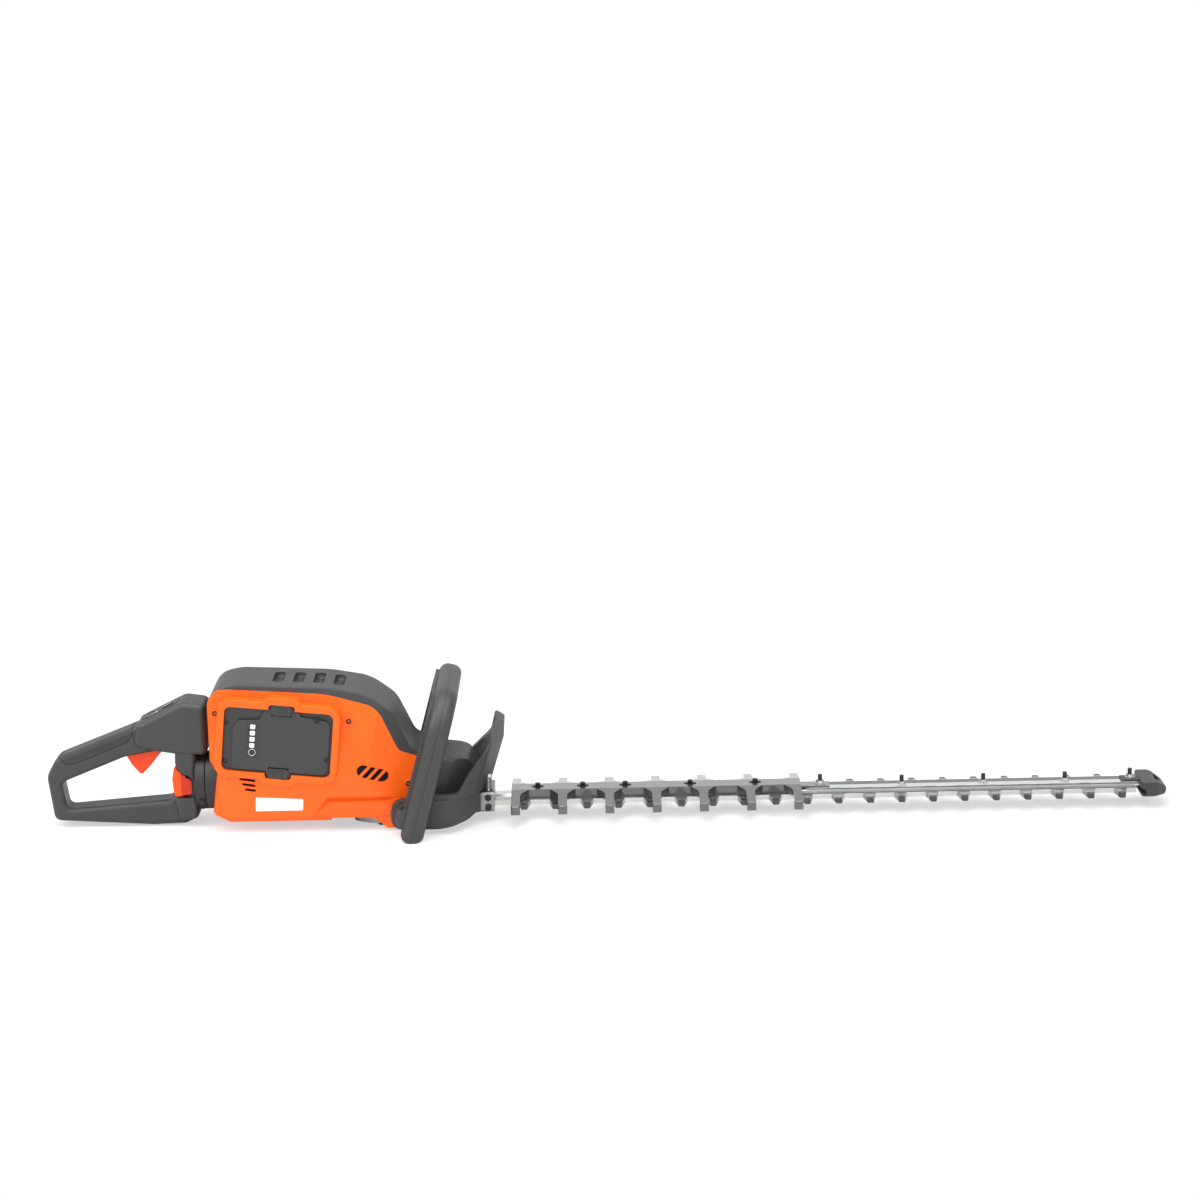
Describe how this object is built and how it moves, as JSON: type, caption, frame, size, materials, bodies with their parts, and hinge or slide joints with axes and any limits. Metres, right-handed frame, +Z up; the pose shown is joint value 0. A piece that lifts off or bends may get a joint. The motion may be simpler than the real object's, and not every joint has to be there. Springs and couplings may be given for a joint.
{
  "type": "hedge trimmer",
  "caption": "Battery hedge trimmer with a turning loop rear handle, front loop handle, side-loaded battery and two opposed reciprocating knives on a guide bar.",
  "frame": {"origin": "middle of the machine's box, on the floor it stands on", "axes": "+X forward along the blade, +Y to the machine's left, +Z up"},
  "size_m": [1.3377, 0.204, 0.1801],
  "materials": {
    "orange_plastic": "satin",
    "orange_control": "satin",
    "dark_plastic": "matt",
    "battery_plastic": "matt",
    "soft_grip": "matt",
    "guard_plastic": "satin",
    "tip_plastic": "matt",
    "knife_steel": "ground",
    "bar_aluminium": "bright",
    "case_aluminium": "cast",
    "zinc_steel": "zinc plated",
    "drive_steel": "ground",
    "board": "gloss",
    "brass_contact": "plated"
  },
  "bodies": {
    "machine": {"right_housing": "orange_plastic", "left_housing": "orange_plastic", "top_cover": "dark_plastic", "battery_bay": "dark_plastic", "battery_terminals": "brass_contact", "control_board": "board", "crank_bearings": "drive_steel", "gear_case": "case_aluminium", "gear_case_cover": "case_aluminium", "gear_case_bolts": "zinc_steel", "motor_can": "drive_steel", "motor_bearings": "drive_steel", "motor_stator": "drive_steel", "guide_bar": "bar_aluminium", "blade_studs": "zinc_steel", "blade_nuts": "zinc_steel", "blade_guard": "guard_plastic", "guard_screws": "zinc_steel", "tip_guard": "tip_plastic", "blade_clamp": "case_aluminium", "front_housing": "dark_plastic", "hand_guard": "dark_plastic", "front_loop_half": "dark_plastic", "rear_loop_half": "dark_plastic", "swivel_sleeve": "dark_plastic", "swivel_retainer": "dark_plastic"},
    "rear_handle": {"right_handle_half": "dark_plastic", "left_handle_half": "dark_plastic", "soft_grip": "soft_grip", "trigger_pin": "zinc_steel", "trigger_spring": "zinc_steel", "trigger_switch": "battery_plastic", "lever_pin": "zinc_steel", "keypad_panel": "dark_plastic"},
    "trigger": {"trigger": "orange_control"},
    "lock_lever": {"lock_lever": "orange_control"},
    "power_button": {"power_button": "battery_plastic"},
    "mode_button": {"mode_button": "battery_plastic"},
    "switch_bail": {"switch_bail": "dark_plastic"},
    "battery": {"battery_case": "battery_plastic", "battery_cells": "drive_steel", "battery_cover": "battery_plastic", "charge_indicator": "battery_plastic"},
    "upper_battery_latch": {"upper_battery_latch": "battery_plastic"},
    "lower_battery_latch": {"lower_battery_latch": "battery_plastic"},
    "charge_button": {"charge_button": "battery_plastic"},
    "upper_knife": {"upper_knife": "knife_steel"},
    "lower_knife": {"lower_knife": "knife_steel"},
    "crank": {"drive_gear": "drive_steel", "lower_eccentric": "drive_steel", "upper_eccentric": "drive_steel", "crank_shaft": "drive_steel"},
    "rotor": {"rotor_core": "drive_steel", "motor_shaft": "drive_steel", "motor_pinion": "drive_steel", "cooling_fan": "battery_plastic"}
  },
  "joints": [
    {"name": "handle_swivel", "type": "hinge", "parent": "machine", "child": "rear_handle", "pos_m": [-0.485, 0, 0.053], "axis": [1, 0, 0], "range_deg": [-90, 90]},
    {"name": "trigger_pull", "type": "hinge", "parent": "rear_handle", "child": "trigger", "pos_m": [-0.534, 0, 0.098], "axis": [0, 1, 0], "range_deg": [0, 14], "stiffness_Nm_per_rad": 0.6, "springref_deg": -17.19},
    {"name": "lock_lever_pull", "type": "hinge", "parent": "rear_handle", "child": "lock_lever", "pos_m": [-0.508, 0, 0.03], "axis": [0, -1, 0], "range_deg": [0, 12], "stiffness_Nm_per_rad": 0.6, "springref_deg": -17.19},
    {"name": "power_button_press", "type": "slide", "parent": "rear_handle", "child": "power_button", "axis": [0.4384, 0, -0.8988], "range_m": [0, 0.0008], "stiffness_N_per_m": 800, "springref_m": -0.001},
    {"name": "mode_button_press", "type": "slide", "parent": "rear_handle", "child": "mode_button", "axis": [0.4384, 0, -0.8988], "range_m": [0, 0.0008], "stiffness_N_per_m": 800, "springref_m": -0.001},
    {"name": "bail_squeeze", "type": "hinge", "parent": "machine", "child": "switch_bail", "pos_m": [-0.235, 0, 0.027], "axis": [0, 1, 0], "range_deg": [0, 1.2], "stiffness_Nm_per_rad": 20, "springref_deg": -2.86},
    {"name": "battery_slide", "type": "slide", "parent": "machine", "child": "battery", "axis": [0, -1, 0], "range_m": [0, 0.11]},
    {"name": "upper_latch_press", "type": "slide", "parent": "battery", "child": "upper_battery_latch", "axis": [-0.1028, 0, -0.9947], "range_m": [0, 0.003], "stiffness_N_per_m": 600, "springref_m": -0.002},
    {"name": "lower_latch_press", "type": "slide", "parent": "battery", "child": "lower_battery_latch", "axis": [0.1028, 0, 0.9947], "range_m": [0, 0.003], "stiffness_N_per_m": 600, "springref_m": -0.002},
    {"name": "charge_button_press", "type": "slide", "parent": "battery", "child": "charge_button", "axis": [0, 1, 0], "range_m": [0, 0.0008], "stiffness_N_per_m": 800, "springref_m": -0.001},
    {"name": "upper_knife_stroke", "type": "slide", "parent": "machine", "child": "upper_knife", "axis": [1, 0, 0], "range_m": [-0.00857, 0.00857]},
    {"name": "lower_knife_stroke", "type": "slide", "parent": "machine", "child": "lower_knife", "axis": [1, 0, 0], "range_m": [-0.00857, 0.00857]},
    {"name": "crank_turn", "type": "hinge", "parent": "machine", "child": "crank", "pos_m": [-0.25, 0, 0.03], "axis": [0, 0, 1], "range_deg": [-62, 62]},
    {"name": "rotor_turn", "type": "hinge", "parent": "machine", "child": "rotor", "pos_m": [-0.286, 0, 0.07], "axis": [0, 0, 1], "range_deg": [-256, 256]}
  ],
  "couplings": [
    {"joint": "lower_knife_stroke", "follows": "upper_knife_stroke", "ratio": -1},
    {"joint": "crank_turn", "follows": "upper_knife_stroke", "rad_per_m": -122.28},
    {"joint": "rotor_turn", "follows": "upper_knife_stroke", "rad_per_m": 506.59}
  ]
}
